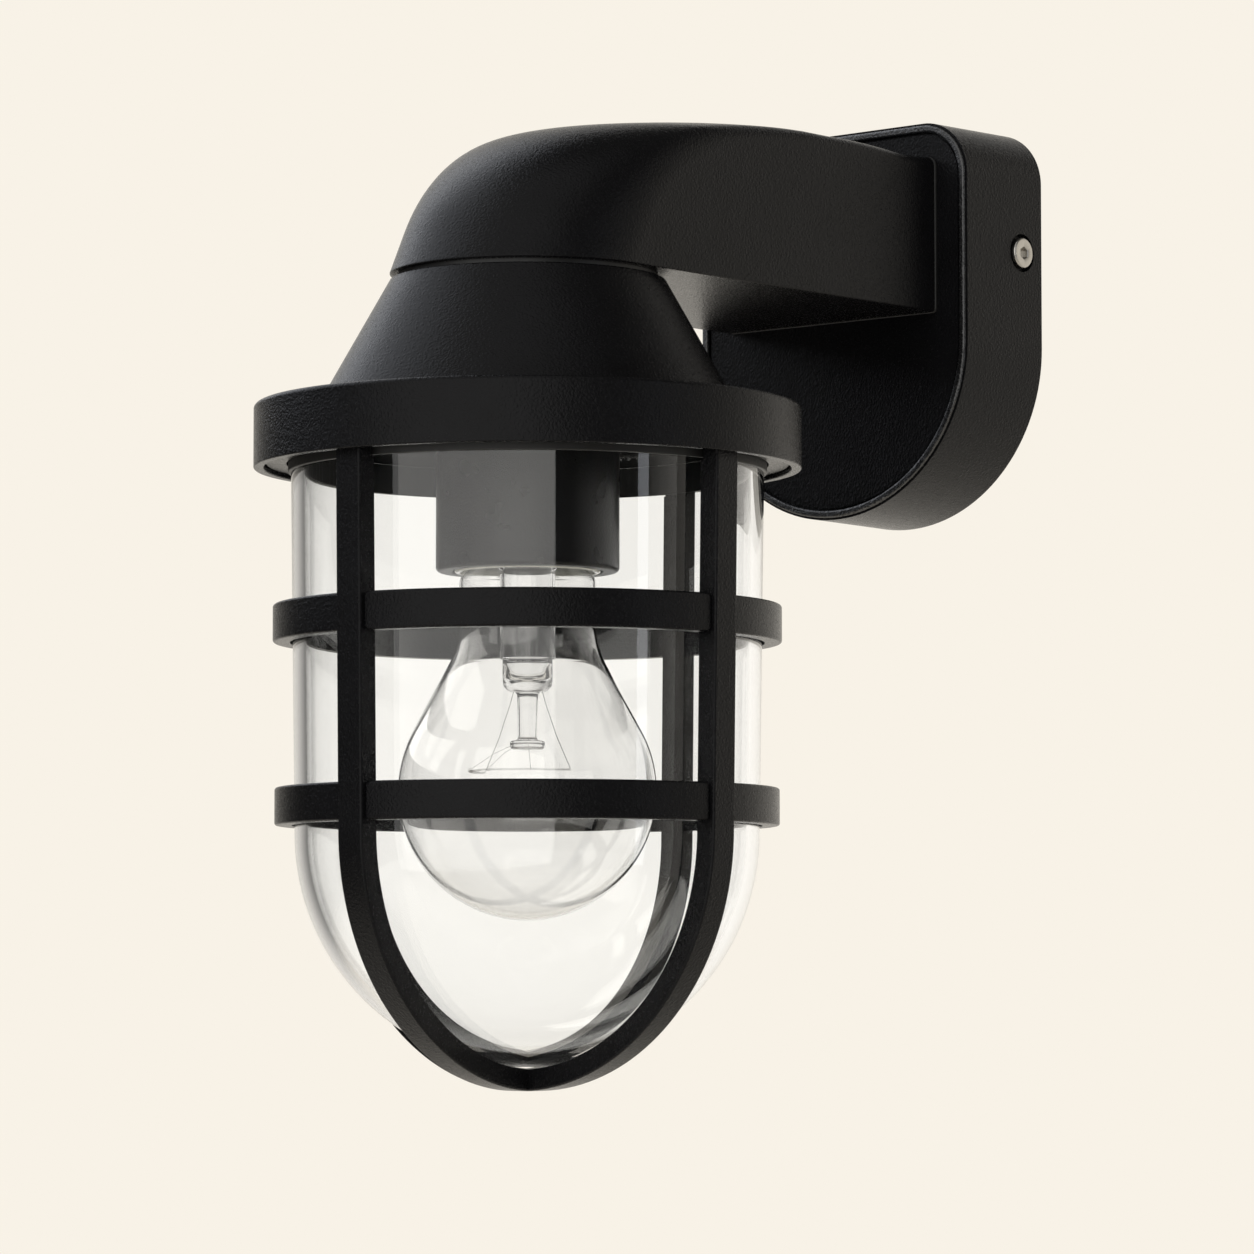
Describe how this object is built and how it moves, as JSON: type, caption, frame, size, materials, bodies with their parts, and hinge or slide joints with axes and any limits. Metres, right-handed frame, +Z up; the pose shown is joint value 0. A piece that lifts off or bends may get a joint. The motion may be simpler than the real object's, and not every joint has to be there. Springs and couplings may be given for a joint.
{
  "type": "cage wall light",
  "caption": "Wall light: D-shaped wall box, short cast arm and flanged cap over a thick clear glass dome in a cast cage, with a clear bulb.",
  "frame": {"origin": "on the wall plane, midway between the two wall screw slots, where the light is fixed", "axes": "+Z up, -Y out from the wall along the arm, +X to the right seen from the room"},
  "size_m": [0.1288, 0.2097, 0.2398],
  "materials": {
    "black_paint": "fine textured black powder coat",
    "clear_glass": "clear pressed glass",
    "bulb_glass": "clear blown glass",
    "seal_rubber": "matt black",
    "stainless": "plain stainless steel",
    "zinc_steel": "zinc plated",
    "brass": "plain",
    "nickel": "plain nickel plated or aluminium cap",
    "ceramic": "glazed porcelain",
    "black_glass": "black glass insulator",
    "block_plastic": "white polyamide",
    "brown_insulation": "brown silicone insulation",
    "blue_insulation": "blue silicone insulation",
    "earth_insulation": "green and yellow insulation",
    "tungsten": "bare wire"
  },
  "bodies": {
    "fixture": {"wall_box": "black_paint", "wall_seal": "seal_rubber", "wall_bracket": "zinc_steel", "side_screws": "stainless", "cable_grommet": "seal_rubber", "terminal_block": "block_plastic", "terminal_screws": "zinc_steel", "earth_screw": "brass", "earth_washer": "brass", "live_lead": "brown_insulation", "neutral_lead": "blue_insulation", "earth_lead": "earth_insulation", "arm": "black_paint", "arm_gasket": "seal_rubber", "arm_screws": "zinc_steel", "cap_gasket": "seal_rubber", "head_cap": "black_paint", "nipple": "zinc_steel", "nipple_nut_upper": "zinc_steel", "nipple_nut_lower": "zinc_steel", "lampholder_sleeve": "black_paint", "holder_bridge": "zinc_steel", "holder_screws": "zinc_steel", "lampholder_ceramic": "ceramic", "lampholder_shell": "brass", "lampholder_contact": "brass"},
    "glass": {"glass_dome": "clear_glass", "glass_gasket": "seal_rubber"},
    "cage": {"cage_ring": "black_paint", "cage_bars": "black_paint", "upper_hoop": "black_paint", "lower_hoop": "black_paint"},
    "bulb": {"bulb_envelope": "bulb_glass", "bulb_cap": "nickel", "bulb_insulator": "black_glass", "bulb_contact": "nickel", "bulb_stem": "bulb_glass", "bulb_wires": "tungsten", "filament": "tungsten"}
  },
  "joints": [
    {"name": "cage_drop", "type": "slide", "parent": "fixture", "child": "glass", "axis": [0, 0, -1], "range_m": [0, 0.19]},
    {"name": "cage_turn", "type": "hinge", "parent": "glass", "child": "cage", "pos_m": [0, -0.1453, -0.0386], "axis": [0, 0, -1], "range_deg": [0, 720]},
    {"name": "bulb_unscrew", "type": "slide", "parent": "fixture", "child": "bulb", "axis": [0, 0, -1], "range_m": [0, 0.0217]}
  ]
}
